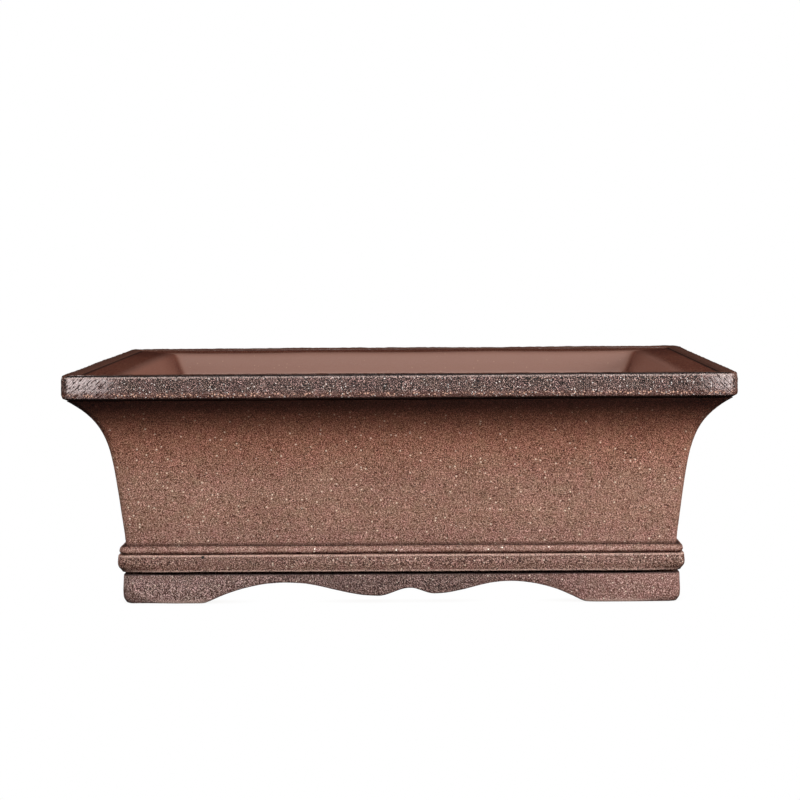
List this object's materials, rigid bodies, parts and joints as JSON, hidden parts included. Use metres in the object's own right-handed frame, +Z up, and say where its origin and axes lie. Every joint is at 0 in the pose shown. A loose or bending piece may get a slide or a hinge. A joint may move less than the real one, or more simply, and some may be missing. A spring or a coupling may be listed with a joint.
{
  "type": "bonsai pot",
  "caption": "Rectangular unglazed clay bonsai pot with flared walls, a lipped rim, a waist moulding and scalloped feet.",
  "frame": {"origin": "centre of the footprint, on the surface that the feet stand on", "axes": "+X along the pot's length, +Y from the front face towards the back, +Z up out of the mouth"},
  "size_m": [0.36, 0.27, 0.1272],
  "materials": {
    "clay_wall": "unglazed purple-brown sand clay, fine cream specks, matt with a faint sheen",
    "clay_rim": "unglazed purple-brown clay, coarse tooled face, satin where the edge is worn",
    "clay_waist": "unglazed purple-brown sand clay, smoothed and slightly polished",
    "clay_foot": "unglazed greyish brown sand clay, matt and open grained",
    "clay_floor": "unglazed brown sand clay, matt, left rough"
  },
  "bodies": {
    "root": {"floor_slab": "clay_floor", "foot_apron_front": "clay_foot", "waist_band_front": "clay_waist", "waist_bead_front": "clay_waist", "wall_front": "clay_wall", "rim_ledge_front": "clay_rim", "rim_band_front": "clay_rim", "foot_apron_right": "clay_foot", "waist_band_right": "clay_waist", "waist_bead_right": "clay_waist", "wall_right": "clay_wall", "rim_ledge_right": "clay_rim", "rim_band_right": "clay_rim", "foot_apron_back": "clay_foot", "waist_band_back": "clay_waist", "waist_bead_back": "clay_waist", "wall_back": "clay_wall", "rim_ledge_back": "clay_rim", "rim_band_back": "clay_rim", "foot_apron_left": "clay_foot", "waist_band_left": "clay_waist", "waist_bead_left": "clay_waist", "wall_left": "clay_wall", "rim_ledge_left": "clay_rim", "rim_band_left": "clay_rim"}
  },
  "joints": []
}
